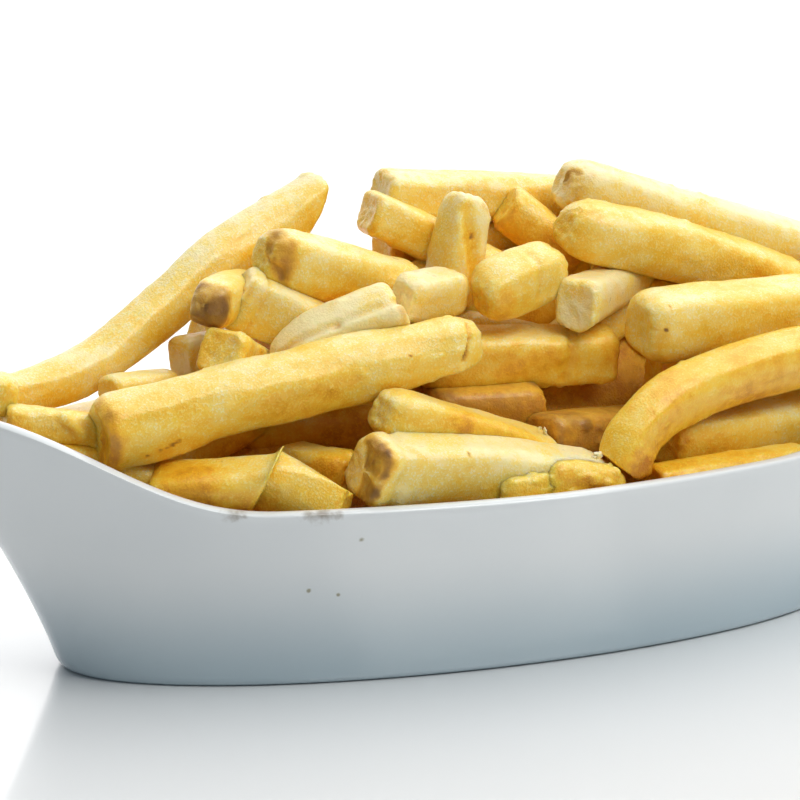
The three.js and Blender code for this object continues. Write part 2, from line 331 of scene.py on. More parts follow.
def crustGroup(crust):
    # Fried crust. The tone, moved by patches and mottle and less the dots and the cut, picks a colour
    # from the ramp of tones; the toast lays its brown over it. Height is grain and pits.
    group = bpy.data.node_groups.new("fried crust", "ShaderNodeTree")
    for name, default in (("Tone", 0.4), ("Toast", 0.0), ("Cut", 0.0)):
        socket = group.interface.new_socket(name, in_out="INPUT", socket_type="NodeSocketFloat")
        socket.default_value = default
    for name, kind in (("Colour", "Color"), ("Roughness", "Float"), ("Height", "Float")):
        group.interface.new_socket(name, in_out="OUTPUT", socket_type="NodeSocket" + kind)
    given = addNode(group, "NodeGroupInput", (-1800, 300))
    result = addNode(group, "NodeGroupOutput", (1200, 0))
    patches = noiseNode(group, crust["patch"], 2, (-1500, 100))
    mottle = noiseNode(group, crust["mottle"], 3, (-1500, -100))
    grain = noiseNode(group, crust["grain"], 1, (-1500, -300), 0.6)
    pits = noiseNode(group, crust["pits"], 2, (-1500, -500))

    drift = rangeNode(group, patches, 0.3, 0.7, -crust["drift"], crust["drift"], (-1200, 100))
    fine = rangeNode(group, mottle, 0.3, 0.7, -crust["fine"], crust["fine"], (-1200, -100))
    dots = rangeNode(group, grain, *crust["specks"], 0, crust["dot"], (-1200, -250))
    fade = rangeNode(group, given.outputs["Tone"], *crust["dotFade"], (-1200, 400))
    dots = mathNode(group, "MULTIPLY", dots, fade, (-1000, -250))
    paler = mathNode(group, "MULTIPLY", given.outputs["Cut"], crust["cutPaler"], (-900, 0))
    tone = mathNode(group, "ADD", given.outputs["Tone"], drift, (-900, 200))
    tone = mathNode(group, "ADD", tone, fine, (-700, 200))
    tone = mathNode(group, "SUBTRACT", tone, dots, (-600, 100))
    tone = mathNode(group, "SUBTRACT", tone, paler, (-500, 200))
    base = rampNode(group, crust["tones"], (-250, 300))
    group.links.new(tone, base.inputs[0])

    brown = rampNode(group, crust["toast"], (-250, 0))
    group.links.new(given.outputs["Toast"], brown.inputs[0])
    ragged = rangeNode(group, mottle, 0.35, 0.65, -crust["ragged"], crust["ragged"], (-900, -200))
    spread = mathNode(group, "ADD", given.outputs["Toast"], ragged, (-500, -100))
    mask = rangeNode(group, spread, *crust["browned"], 0, 1, (-250, -250))
    colour = mixColour(group, mask, base.outputs[0], brown.outputs[0], (150, 200))
    group.links.new(colour, result.inputs["Colour"])

    rough = rangeNode(group, mottle, 0.25, 0.75, *crust["roughness"], (-250, -500))
    dry = rangeNode(group, given.outputs["Toast"], *crust["dry"], (-250, -700))
    group.links.new(mathNode(group, "ADD", rough, dry, (-50, -500)), result.inputs["Roughness"])
    grainHeight = mathNode(group, "MULTIPLY", grain, crust["height"][0], (-900, -400))
    pitHeight = mathNode(group, "MULTIPLY", pits, crust["height"][1], (-900, -550))
    group.links.new(mathNode(group, "ADD", grainHeight, pitHeight, (-500, -450)), result.inputs["Height"])
    return group


def crustMaterial(name, group, bump, **values):
    # the group, fed by the attributes that every fry carries
    material, tree, shader = newMaterial(name, **values)
    crustNode = addNode(tree, "ShaderNodeGroup", (100, 0), node_tree=group)
    for key, height in (("tone", 200), ("toast", 0), ("cut", -200)):
        attribute = addNode(tree, "ShaderNodeAttribute", (-200, height), attribute_name=key)
        tree.links.new(attribute.outputs["Fac"], crustNode.inputs[key.capitalize()])
    tree.links.new(crustNode.outputs["Colour"], shader.inputs["Base Color"])
    tree.links.new(crustNode.outputs["Roughness"], shader.inputs["Roughness"])
    bumpInto(tree, crustNode.outputs["Height"], shader, bump, crust["depth"], (300, -300))
    return material


crustNodes = crustGroup(crust)
goldenCrust = crustMaterial(
    "goldenCrust", crustNodes, bump=0.38, IOR=1.45, Coat_Weight=0.4, Coat_Roughness=0.28,
    Subsurface_Weight=0.6, Subsurface_Radius=(1.0, 0.72, 0.4), Subsurface_Scale=0.0024)
deepCrust = crustMaterial(
    "deepCrust", crustNodes, bump=0.6, IOR=1.45,
    Subsurface_Weight=0.3, Subsurface_Radius=(1.0, 0.4, 0.1), Subsurface_Scale=0.003)


glaze = {
    "pale": ((0.73, 0.76, 0.77), (0.765, 0.79, 0.795)),
    # foot: painted shade, the glaze darker and bluer towards the foot
    "foot": (0.0, 25, (0.58, 0.69, 0.75)),  # heights between which it turns greyer, and how much
    "cloud": 28, "peel": 330, "ragged": 600,  # waves to the metre
    "roughness": (0.10, 0.17), "peelShare": 0.06, "bump": (0.35, 0.5),  # bump: strength, depth
    "raggedEdge": 0.45, "fade": (0.5, 1.9),  # where a spot starts to fade and is gone, over its radius
    "smears": {"colour": (0.24, 0.195, 0.14), "strength": 0.8, "spots": [  # place, radius
        ((-57.8, -33.3, 35.0), 1.7), ((-56.2, -33.8, 34.7), 1.2), ((-44.8, -37.1, 34.0), 1.5),
        ((-42.9, -37.5, 34.0), 1.7), ((-41.0, -37.9, 33.9), 1.3)]},
    "specks": {"colour": (0.26, 0.24, 0.13), "strength": 0.85, "spots": [
        ((-35.3, -36.4, 28.2), 0.34), ((-43.2, -31.4, 18.6), 0.3), ((-38.0, -32.3, 17.5), 0.26)]},
}


def spotMask(tree, spots, ragged, fade, place):
    # 1 within a spot's ragged radius, 0 away from it: distance over radius, plus the ragged noise
    total = None
    for k, (centre, radius) in enumerate(spots):
        x, y = place[0], place[1] - 160 * k
        away = addNode(tree, "ShaderNodeVectorMath", (x, y), operation="DISTANCE")
        away.inputs[1].default_value = Vector(centre) * mm
        tree.links.new(objectCoordinates(tree), away.inputs[0])
        scaled = mathNode(tree, "MULTIPLY", away.outputs["Value"], 1 / (radius * mm), (x + 160, y))
        scaled = mathNode(tree, "ADD", scaled, ragged, (x + 320, y))
        near = rangeNode(tree, scaled, *fade, 1, 0, (x + 480, y))
        total = near if total is None else mathNode(tree, "MAXIMUM", total, near, (x + 640, y))
    return total


def glazeMaterial(glaze):
    # white glaze: hardly uneven, a soft orange peel, a few smears and specks of the food on it, and painted
    # shade that makes it darker and bluer towards the foot
    material, tree, shader = newMaterial("whiteGlaze", Coat_Weight=0.35, Coat_Roughness=0.05, IOR=1.5)
    cloud = noiseNode(tree, glaze["cloud"], 2, (-900, 100))
    peel = noiseNode(tree, glaze["peel"], 2, (-900, -200))
    edge = noiseNode(tree, glaze["ragged"], 3, (-900, 500))
    colour = mixColour(tree, rangeNode(tree, cloud, 0.3, 0.7, 0, 1, (-600, 100)), *glaze["pale"], (-400, 100))
    place = addNode(tree, "ShaderNodeSeparateXYZ", (-900, 300))
    tree.links.new(objectCoordinates(tree), place.inputs[0])
    low, high, grey = glaze["foot"]
    # painted shade: below the given height the glaze is multiplied down to a darker blue-grey towards the
    # foot
    footShade = rangeNode(tree, place.outputs["Z"], low * mm, high * mm, 1, 0, (-600, 300))
    shadedGlaze = mixColour(tree, 1.0, colour, grey, (-250, 300), "MULTIPLY")
    colour = mixColour(tree, footShade, colour, shadedGlaze, (-100, 200))
    ragged = rangeNode(tree, edge, 0.2, 0.8, -glaze["raggedEdge"], glaze["raggedEdge"], (-700, 500))
    for k, dirt in enumerate((glaze["smears"], glaze["specks"])):
        mask = spotMask(tree, dirt["spots"], ragged, glaze["fade"], (-1400, 900 + 800 * k))
        mask = mathNode(tree, "MULTIPLY", mask, dirt["strength"], (-500, 700 + 200 * k))
        colour = mixColour(tree, mask, colour, dirt["colour"], (50 + 150 * k, 400))
    tree.links.new(colour, shader.inputs["Base Color"])
    rough = rangeNode(tree, cloud, 0.3, 0.7, *glaze["roughness"], (-600, -100))
    tree.links.new(rough, shader.inputs["Roughness"])
    peelHeight = mathNode(tree, "MULTIPLY", peel, glaze["peelShare"], (-600, -300))
    height = mathNode(tree, "ADD", cloud, peelHeight, (-400, -300))
    bumpInto(tree, height, shader, *glaze["bump"], (200, -300))
    return material


print("finishes made")


dish = {
    "footHalf": (78, 31.8), "footPower": 2, "rimHalf": (103.5, 39.8), "rimPower": 1.65,
    "rimLow": 34, "rimRise": 18.4, "riseStart": 46.6, "riseEnd": 110.8, "flare": 1.2,
    "wall": 3, "floor": 4, "floorInset": 6, "floorRound": 4, "floorShare": 0.06,
    "footRound": 1.5, "rimRound": 0.9, "around": 320, "wallSteps": 26, "roundSteps": 8,
    "underInsets": (24, 3, 6),  # of the rings under the foot: first, last, count
    "floorRings": ((7.5, 0.45), (10, 0.0), (20, 0.0)),  # inset, height over the floor
}


def rimHeight(x):
    # low along the sides, rising by 6t^5 - 15t^4 + 10t^3 to the pointed ends
    t = np.clip((np.abs(x) - dish["riseStart"]) / (dish["riseEnd"] - dish["riseStart"]), 0, 1)
    return dish["rimLow"] + dish["rimRise"] * t**3 * (t * (t * 6 - 15) + 10)


def oval(half, grown, power, angle):
    # superellipse: each half size times the signed power 2/power of cosine and sine
    x, y = signedPower(np.cos(angle), 2 / power), signedPower(np.sin(angle), 2 / power)
    return (half[0] + grown) * x, (half[1] + grown) * y


def sidePoints(angle, share, inset, low, footInset=None):
    # the foot's oval blended to the rim's by share^flare, height from low to the rim by share
    footInset = inset if footInset is None else footInset
    footX, footY = oval(dish["footHalf"], -footInset, dish["footPower"], angle)
    rimX, rimY = oval(dish["rimHalf"], 0 if inset else dish["wall"], dish["rimPower"], angle)
    flare = share ** dish["flare"]
    height = mix(low, rimHeight(rimX), share)
    return np.stack(np.broadcast_arrays(mix(footX, rimX, flare), mix(footY, rimY, flare), height), -1)


def footRing(angle, inset, z):
    x, y = oval(dish["footHalf"], -inset, dish["footPower"], angle)
    return np.stack(np.broadcast_arrays(x, y, z), -1)


def dishGrid():
    # Rings from the foot's middle up the outside, over the round rim, down the inside to the floor.
    # The rim goes from edge to edge by (1 - cosine) / 2 and up to its crest by sine.
    angle = np.arange(dish["around"]) * 2 * np.pi / dish["around"]
    turn = np.linspace(0, np.pi / 2, dish["roundSteps"] + 1)[:, None]
    footRound, inside = dish["footRound"], (dish["floorInset"], dish["floor"])
    low = footRound / dish["rimLow"]
    shoulder = 1 - dish["rimRound"] / dish["rimLow"]
    under = [footRing(angle, inset, 0.0)[None] for inset in np.linspace(*dish["underInsets"])]
    corner = sidePoints(angle, low * (1 - np.cos(turn)), 0, 0, footRound * (1 - np.sin(turn)))
    outer = sidePoints(angle, np.linspace(low, shoulder, dish["wallSteps"])[1:, None], 0, 0)
    down = np.linspace(shoulder, dish["floorShare"], dish["wallSteps"])[1:, None]
    inner = sidePoints(angle, down, *inside)
    outerEdge, innerEdge = outer[-1], sidePoints(angle, np.array(shoulder), *inside)
    turn = np.linspace(0, np.pi, dish["roundSteps"] * 2 + 1)[1:, None, None]
    crest = rimHeight((outerEdge[:, 0] + innerEdge[:, 0]) / 2)
    rim = mix(outerEdge, innerEdge, (1 - np.cos(turn)) / 2)
    rim[..., 2:] += (crest[:, None] - rim[..., 2:]) * np.sin(turn)
    floor = [footRing(angle, inset, dish["floor"] + rise)[None] for inset, rise in dish["floorRings"]]
    grid = np.concatenate([*under, corner, outer, rim, inner, *floor])
    return closedGrid(grid, np.array([0, 0, 0.0]), np.array([0, 0, float(dish["floor"])]))


dishPiece = makePiece("whiteDish", [(*dishGrid(), {})], glazeMaterial(glaze))
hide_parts("dish")


# every fry: middles of both ends, widths, depths, roll, bow upwards, end forms, tone, wave; the tone is set
# deeper on fries that lie in shade, as painted shade
fries = {
    "left": {
        "longLeaner": ((-91, 4, 49.5), (-21.2, 20.6, 76.2), (7.8, 10.5), (7.8, 10.5), 10, -3.3,
                       "flat", "slant", 0.32, -2),
        "tipPoker": ((-87, -5, 52), (-99, 0, 54.5), (9, 8), (8, 7), 0, 0, "round", "flat", 0.4),
        "tipFlake": ((-91, -7.5, 49), (-64, -10, 43.5), (7, 7), (6, 6), 0, 0, "flat", "flat", 0.48),
        "leftBack": ((-68, 1, 49), (-54.5, 3, 48.6), (8, 8), (8, 8), 0, 0, "flat", "flat", 0.4),
        "leftBackUpper": ((-52, 7, 53.2), (-40, 10, 53.8), (7, 7), (8, 8), 0, 0, "flat", "flat", 0.1),
        "crown": ((-38, 1, 72.5), (-8, 5, 62.4), (11, 11), (11, 11), 15, 0, "round", "flat", 0.4),
        "brownKnob": ((-52.5, -6, 65.5), (-37.5, 9.5, 64), (8.5, 8.5), (8.5, 8.5), 10, 0,
                      "knob", "flat", 0.5),
        "leanShort": ((-43.5, 1, 65.5), (-19, -2, 53), (10, 9), (12, 9), 10, 0, "flat", "flat", 0.3),
        "leftStub": ((-51, -10, 58), (-39, 2, 51), (9, 8), (9, 8), 10, 0, "flat", "flat", 0.42),
        "pointedFold": ((-39, -6, 54), (-16.5, -11, 63), (8, 11), (9, 10), 35, 1, "point", "flat", 0.12),
        "bigLeft": ((-76, -15, 46), (-4.5, -18, 57.5), (13, 10.5), (13, 10.5), 20, 0.5, "flat", "round", 0.4),
    },
    "top": {
        "pale": ((-15, -8, 64), (-2, -3, 63.5), (9, 9), (9, 9), 10, 0, "blunt", "blunt", 0.2),
        "middleBlock": ((0.2, -9, 62.5), (17.8, -4, 66.8), (11, 11), (11, 10), 15, 0.5,
                        "round", "blunt", 0.4),
        "upright": ((-0.5, 4, 60), (4, 5, 79.5), (10, 9), (9, 8), 0, 0, "flat", "round", 0.2),
        "backTop": ((-6, 22, 77.5), (39, 22, 73), (11, 11), (9, 9), 0, 0, "flat", "flat", 0.3),
        "backLeft": ((-12, 14, 76), (4, 13, 68), (10, 10), (8, 9), 0, 0, "flat", "flat", 0.4),
        "backHollow": ((16, 14, 75), (28.5, 10, 64), (9, 9), (9, 9), 0, 0, "flat", "flat", 0.6),
    },
    "right": {
        "rightTop": ((25.5, 10, 79), (85, 10, 59), (11, 11), (11, 11), 15, 0, "round", "flat", 0.2),
        "rightUpper": ((21, -1, 73.5), (70, 2, 57), (12, 11), (11, 11), 15, 1, "round", "flat", 0.42),
        "crossFold": ((17.5, -13, 60.5), (43, 9.5, 59), (9, 9), (11, 11), 5, 0, "flat", "flat", 0.2),
        "rightBroad": ((28.3, -17, 57), (78, -10, 56), (13, 11), (13, 11), 10, 0, "blunt", "flat", 0.38),
        "frontShade": ((-9.5, -4, 52), (28, -7, 50), (11, 11), (10.5, 10), 10, 0, "flat", "flat", 0.48),
        "deepMiddle": ((-9, -7, 42.5), (12, -10.5, 42.5), (10, 10), (9.5, 9.5), 8, 0, "flat", "blunt", 0.78),
        "deepRight": ((8, -18, 38.2), (46, -8, 35), (10, 10), (9, 9), 0, 0, "flat", "flat", 0.8),
        "rightRim": ((18.2, -32.2, 32.5), (74, -21, 50.5), (8.5, 9.5), (9.5, 11), 22, 0, "flat", "flat", 0.6),
        "rightLow": ((30.5, -23, 36.5), (70, -15, 36.5), (11, 11), (10, 10), 10, 0, "flat", "flat", 0.5),
        "rimStrip": ((23, -33.5, 32.2), (57, -27.5, 31.6), (7, 7), (6, 6), 10, 0, "flat", "flat", 0.7),
    },
    "near": {
        "nearUpper": ((-26.5, -25, 48), (8, -20, 36), (11, 10), (10, 7.5), 10, 0, "round", "flat", 0.34),
        "nearRim": ((-33, -32, 39.5), (16, -28.5, 31.8), (12, 10), (12, 10), 15, 1, "flat", "round", 0.26),
        "rimBit": ((-8, -34.5, 33.2), (3, -34.5, 33.6), (5, 5.5), (6.5, 6.5), 0, 0, "round", "round", 0.6),
        "rimBlister": ((0.8, -34.8, 34.4), (16.5, -34.2, 32.6), (6, 6), (8.5, 5.5), 0, 0.6,
                       "round", "round", 0.6),
        "leftLow": ((-66, -16.5, 35), (-43, -33.1, 37.7), (11, 9.5), (10, 10), 20, 0, "flat", "flat", 0.36),
        "pointedLow": ((-50.5, -23, 38.5), (-36.6, -33.6, 35.2), (10, 7), (11, 7), 15, 0,
                       "flat", "flat", 0.56),
        "leftDeep": ((-38, -10, 36), (-31, -23, 35.8), (9, 9), (9, 9), 0, 0, "flat", "blunt", 0.6),
    },
    "deep": {
        "carrierTop": ((-6, 21, 67.5), (40, 22, 64), (10, 10), (10, 10), 5, 0, "flat", "flat", 0.5),
        "carrierRight": ((50, 13, 60.5), (77, 12, 53.5), (10, 10), (10, 10), 5, 0, "flat", "flat", 0.5),
        "carrierFront": ((35, -9.5, 46), (74, -11, 45.5), (9.5, 9), (9.5, 9.5), 5, 0, "flat", "flat", 0.6),
        "carrierLeft": ((-70, 8, 37), (-36, 5, 46.5), (9, 9), (9, 9), 5, 0, "flat", "flat", 0.5),
        "carrierFarLeft": ((-88, 2, 39.5), (-60, -3, 37), (9, 9), (9, 9), 10, 0, "flat", "flat", 0.5),
        "carrierNear": ((-84, -7.5, 42), (-64, -14.5, 35.5), (8, 8), (8, 8), 10, 0, "flat", "flat", 0.6),
        "endLow": ((58, -6, 38.5), (90, -4.5, 46), (10, 10), (10, 9.5), 5, 0, "flat", "flat", 0.5),
        "endLowFar": ((60, 5, 40), (86, 4.5, 46), (10, 9), (9.5, 9), 5, 0, "flat", "round", 0.5),
        "endCross": ((77, 15, 49), (95, 3, 51.5), (8.5, 8.5), (8.5, 8.5), 10, 0, "flat", "flat", 0.4),
        "endNear": ((79, -12.5, 47.5), (96, -3, 54), (9, 9), (9, 8.5), 20, 0, "flat", "flat", 0.4),
        "endTip": ((85, 1, 54), (102, -1, 58), (8, 8), (8, 7.5), 0, 0, "flat", "round", 0.35),
    },
    "far": {
        "farLeftUpper": ((-80, 11, 39.5), (-58, 20, 40), (9, 9), (8.5, 9), 10, 0, "flat", "flat", 0.35),
        "farLeftLow": ((-69, 15, 35.5), (-45, 24, 36), (10, 10), (10, 10), 10, 0, "flat", "flat", 0.5),
        "farRimLeft": ((-46, 29.5, 39.5), (0, 34, 40), (10, 9), (10, 9.5), 5, 0, "flat", "flat", 0.4),
        "farRimRight": ((4, 34, 40.5), (44, 30, 41), (9.5, 10), (10, 10), 10, 0, "flat", "flat", 0.35),
        "farRimEnd": ((46, 28, 40.5), (76, 15, 43), (10, 9), (10, 9.5), 10, 0, "flat", "flat", 0.45),
        "farMiddleLeft": ((-44, 19, 55), (-8, 31, 48), (10.5, 10), (10, 10), 10, 0, "round", "flat", 0.4),
        "farMiddle": ((-2, 32, 48.5), (34, 29, 51), (10, 10), (10, 9.5), 15, 0, "flat", "flat", 0.3),
        "farMiddleRight": ((40, 26, 53.5), (70, 19, 52.5), (10, 10), (9.5, 10), 10, 1, "flat", "round", 0.45),
        "farUpperLeft": ((-34, 18, 62), (0, 28, 59), (10, 10), (10, 10), 15, 0, "flat", "flat", 0.35),
        "farUpper": ((3, 31, 59), (34, 29, 60.5), (9.5, 10), (9.5, 10), 10, 1, "flat", "flat", 0.3),
    },
}

# What single fries have of their own. square: sharper corners, or rounder below 0; blister: more of
# them; shade: toast all over, painted shade on fries that lie in shade deep in the heap; toast, hollow: of
# the start's and the end's cut; ring: toast round the start's cut; path: the inner points of its curve;
# cuts: planes that cut it (point, facing); rounding: of the edges they make; marks on the skin: lines
# from (t, angle) to (t, angle), half width, push, and brown, or below 0 a deeper orange tone, which is
# painted shade on bigLeft's left end, frontShade and leftLow.
looks = {
    "longLeaner": {"square": -0.15, "marks": [(0.985, 56, 0.985, 57, 0.5, -0.1, 0.7),
        (0.6, 150, 0.9, 135, 2.2, -0.3, 0.0)]},
    "tipPoker": {"hollow": (0.5, 2.0), "toast": (0.0, 0.1)},
    "crown": {"square": -0.05, "toast": (0.12, 0.1), "marks": [(0.0, 80, 0.06, 200, 3.4, -0.3, 0.3),
        (0.03, 190, 0.07, 212, 1.6, -0.5, 0.4), (0.15, 235, 0.9, 240, 4.5, 0, -0.3)]},
    "brownKnob": {"square": 0.0, "toast": (0.42, 0.0), "marks": [(0.0, 150, 0.12, 290, 4.5, 0.2, 0.26),
        (0.1, 120, 0.18, 230, 1.2, -0.35, 0.2)]},
    "leanShort": {"square": 0.6, "marks": [(0.12, 60, 0.15, 230, 0.8, -0.45, 0.08)]},
    "tipFlake": {"blister": 0.5, "marks": [(0.2, 100, 0.9, 110, 3, 0.2, -0.15),
        (0.35, 140, 0.5, 190, 1.3, 0.8, 0.0)]},
    "leftStub": {"square": 0.6},
    "pointedFold": {"square": 0.2, "marks": [(0.05, 111, 0.5, 118, 1.2, -0.7, 0.12),
        (0.5, 118, 1.0, 108, 1.2, -0.6, 0.08)]},
    # bigLeft: the orange band round its start is painted shade on its left end
    "bigLeft": {"square": -0.15, "toast": (0.05, 0.05), "ring": 0.1, "hollow": (0.9, 0.2),
        "marks": [(0.0, 90, 0.0, 250, 4.0, 0.2, -0.3), (0.095, 200, 0.096, 200, 0.62, -0.15, 0.95),
        (0.13, 196, 0.132, 196, 0.5, -0.1, 0.8), (0.143, 193, 0.144, 193, 0.42, -0.1, 0.7),
        (0.158, 192, 0.16, 192, 0.6, -0.15, 0.95), (0.173, 188, 0.175, 187, 0.65, -0.15, 0.9),
        (0.794, 146, 0.795, 146, 0.35, -0.1, 0.8), (0.972, 100, 0.962, 142, 0.5, -0.55, 0.2),
        (0.962, 142, 0.935, 184, 0.5, -0.6, 0.55)]},
    "pale": {"square": 0.2},
    "middleBlock": {"square": 0.1, "marks": [(0.62, 95, 0.5, 190, 0.9, -0.4, 0.05),
        (0.36, 205, 0.8, 225, 3.0, 0, -0.12)]},
    "upright": {"marks": [(0.85, 150, 0.05, 215, 2.4, -0.8, -0.35), (0.65, 175, 0.63, 176, 0.7, -0.3, 0.7)]},
    "rightTop": {"square": 0.0, "toast": (0.06, 0.0), "marks": [(0.0, 110, 0.03, 215, 2.6, -0.2, 0.22),
        (0.0, 95, 0.012, 125, 1.5, -0.1, 0.5)]},
    "rightUpper": {"square": 0.0, "marks": [(0.02, 90, 0.25, 88, 0.6, 0.15, 0.0)]},
    "crossFold": {"square": 0.4, "rounding": 0.8, "cuts": [((15.1, -12.7, 57.5), (-0.62, 0.08, -0.78)),
        ((19.5, -14.8, 56.8), (0.43, -0.4, -0.81))]},
    "rightBroad": {"square": 0.25, "marks": [(0.04, 165, 0.045, 165, 0.55, -0.15, 0.95),
        (0.06, 130, 0.062, 130, 0.5, -0.1, 0.6)]},
    # frontShade: the wide orange mark in its middle is painted shade under the fries above it
    "frontShade": {"square": 0.3, "marks": [(0.702, 143, 0.703, 143, 0.35, -0.1, 0.85),
        (0.45, 185, 0.62, 180, 7, 0, -0.16), (0.74, 90, 0.7, 210, 1.6, -0.5, 0.1)]},
    # painted shade: deepMiddle and deepRight are toasted all over to darken them where they lie in shade
    "deepMiddle": {"square": 0.1, "shade": 0.42},
    "deepRight": {"shade": 0.5},
    "rightRim": {"square": 0.1, "path": ((17.2, -32.0, 45.5), (33, -27.5, 48.8)), "toast": (0.1, 0.0),
        "marks": [(0.0, 180, 0.08, 180, 7, 0, -0.5)], "cuts": [((16.4, -33.0, 35.6), (-0.62, 0.08, -0.78))]},
    "rightLow": {"square": 0.3, "marks": [(0.549, 170, 0.55, 170, 0.35, -0.1, 0.85)]},
    "nearUpper": {"marks": [(0.37, 166, 0.37, 168, 1.6, 0.35, 0.12), (0.37, 166, 0.37, 168, 0.8, -0.35, 0.0),
        (0.42, 150, 0.95, 160, 6.0, 0, -0.32)]},
    "nearRim": {"square": 0.3, "toast": (0.12, 0.1), "ring": 0.12, "hollow": (0.2, 0.3),
        "marks": [(0.0, 70, 0.015, 150, 2.8, -0.4, 0.45), (0.0, 195, 0.01, 250, 1.8, -0.3, 0.35),
        (0.11, 50, 0.1, 215, 1.8, -0.55, 0.0), (0.363, 130, 0.366, 131, 0.45, -0.15, 0.95),
        (0.48, 200, 0.68, 196, 2.8, 0, -0.3)]},
    "rimBit": {"square": 0.0, "blister": 0.8},
    "rimBlister": {"square": 0.0, "blister": 1.0},
    # leftLow: its orange marks are painted shade on its side in shadow
    "leftLow": {"square": 0.4, "rounding": 2.4, "cuts": [((-49.2, -30.0, 40.7), (0.78, -0.46, -0.43))],
        "marks": [(0.0, 80, 0.3, 130, 9, 0, -0.54), (0.0, 205, 0.6, 215, 4.5, 0, -0.3)]},
    "pointedLow": {"square": 0.5, "rounding": 1.0, "cuts": [((-50.6, -30.5, 39.7), (-0.78, 0.46, 0.43)),
        ((-41, -32.6, 38), (-0.25, -0.94, 0.22)), ((-41.3, -30.0, 40.1), (0.553, -0.04, 0.828))]},
}

fryShape = {
    "around": 76,
    "step": 0.6,  # between rings
    "endForms": {  # tip: share of the section on the cut; depth: of the shoulder, over the half width
        "flat": {"tip": 0.76, "depth": 0.42, "slant": 0},
        "blunt": {"tip": 0.62, "depth": 0.8, "slant": 0},
        "round": {"tip": 0.42, "depth": 1.1, "slant": 0},
        "knob": {"tip": 0.2, "depth": 1.2, "slant": 0},
        "point": {"tip": 0.30, "depth": 2.2, "slant": 0},
        "slant": {"tip": 0.74, "depth": 0.4, "slant": 1},
    },
    "corner": (2.3, 3.4),  # power of the section: softest and sharpest corner
    "square": (2.5, 0.3),  # what a square of 1 adds to it, and the most square that comes by chance
    "hollowSide": 0.12,  # the sides sink between the corners
    "cornerPatch": (14, 1.3),  # length along and share around over which a corner stays alike
    "sway": 0.7, "swayLength": 50, "twist": 5, "swell": (11, 0.035),
    "dents": (10.0, 0.28), "lumps": (3.6, 0.12), "grain": (1.3, 0.06),  # size, height
    "blister": (2.0, 0.35), "blisterPatch": 16,
    "drawnOut": 0.75,  # bumps are that much closer across a fry than along it
    "cutHollow": 0.45, "cutPits": (1.1, 0.2), "cutLean": 0.14, "markEdge": (1.6, 0.25),
    "drift": 15, "browning": 5,  # size of the patches of tone and of toast
    "toneBy": {"drift": 0.16, "edge": 0.10, "corner": -0.05, "mark": 0.9,
               "top": -0.09, "side": 0.08, "under": 0.07},  # painted light and shade: paler on faces turned up, deeper on the sides and undersides
    "toastBy": {"corner": 0.10, "edge": 0.22, "blister": 0.16, "lump": 0.06},
}


def endStations(form, half, step):
    # From the cut's middle outwards: scale 0 to tip on the flat, then to 1 round the shoulder by
    # sine, while the distance from the end runs 1 - cosine over the shoulder's depth.
    tip, depth = form["tip"], form["depth"] * half
    flat = np.linspace(0, 1, max(4, round(tip * half / step)) + 1)[1:] * tip
    bends = max(5, round((depth + (1 - tip) * half) / step * 1.5))
    turn = np.linspace(0, np.pi / 2, bends + 1)[1:]
    scale = np.concatenate([flat, mix(tip, 1, np.sin(turn))])
    at = np.concatenate([flat * 0, depth * (1 - np.cos(turn))])
    cut = np.concatenate([np.ones_like(flat), 1 - np.sin(turn) ** 2])
    return at, scale, cut


def fryStations(length, halves, forms, step):
    # both ends' stations and even steps between: distance along the fry, scale, how much it is cut
    (at0, scale0, cut0), (at1, scale1, cut1) = (
        endStations(form, min(half, length * 0.35), step) for form, half in zip(forms, halves))
    count = max(3, round((length - at0[-1] - at1[-1]) / step)) + 1
    body = np.linspace(at0[-1], length - at1[-1], count)[1:-1]
    at = np.concatenate([at0, body, length - at1[::-1]])
    scale = np.concatenate([scale0, np.ones_like(body), scale1[::-1]])
    cut = np.concatenate([cut0, np.zeros_like(body), cut1[::-1]])
    return at[:, None], scale[:, None], cut[:, None]


def frySection(at, angle, half, seed, shape, look, random):
    # A superellipse, |u|^p + |v|^p = 1, with a power that drifts along the fry. Its sides sink by
    # (1 - v^2) u^4 and (1 - u^2) v^4.
    c, s = np.cos(angle)[None], np.sin(angle)[None]
    patch, share = shape["cornerPatch"]
    spot = np.stack(np.broadcast_arrays(at / patch, c * share, s * share), -1) + random.uniform(0, 50, 3)
    sharper, byChance = shape["square"]
    power = mix(*shape["corner"], smooth(-0.6, 0.6, gradientNoise(spot, seed)))
    power = power + sharper * look.get("square", random.uniform(0, byChance))
    radius = (np.abs(c) ** power + np.abs(s) ** power) ** (-1 / power)
    u, v = radius * c, radius * s
    uneven = 0.6 + 0.8 * smooth(-0.5, 0.5, gradientNoise(spot * 0.7 + 9, seed))
    sink = shape["hollowSide"] / half * uneven
    sunkU = u - np.sign(u) * sink * (1 - v**2) * np.abs(u) ** 4
    sunkV = v - np.sign(v) * sink * (1 - u**2) * np.abs(v) ** 4
    return sunkU, sunkV, radius


def bezier(start, first, second, end, t):
    # the cubic curve (1-t)^3 a + 3t(1-t)^2 b + 3t^2(1-t) c + t^3 d, and the way it runs
    first, second, k = np.array(first), np.array(second), t[..., None]
    point = (1 - k) ** 3 * start + 3 * k * (1 - k) ** 2 * first + 3 * k**2 * (1 - k) * second + k**3 * end
    way = (1 - k) ** 2 * (first - start) + 2 * k * (1 - k) * (second - first) + k**2 * (end - second)
    return point, way / np.linalg.norm(way, axis=-1, keepdims=True)


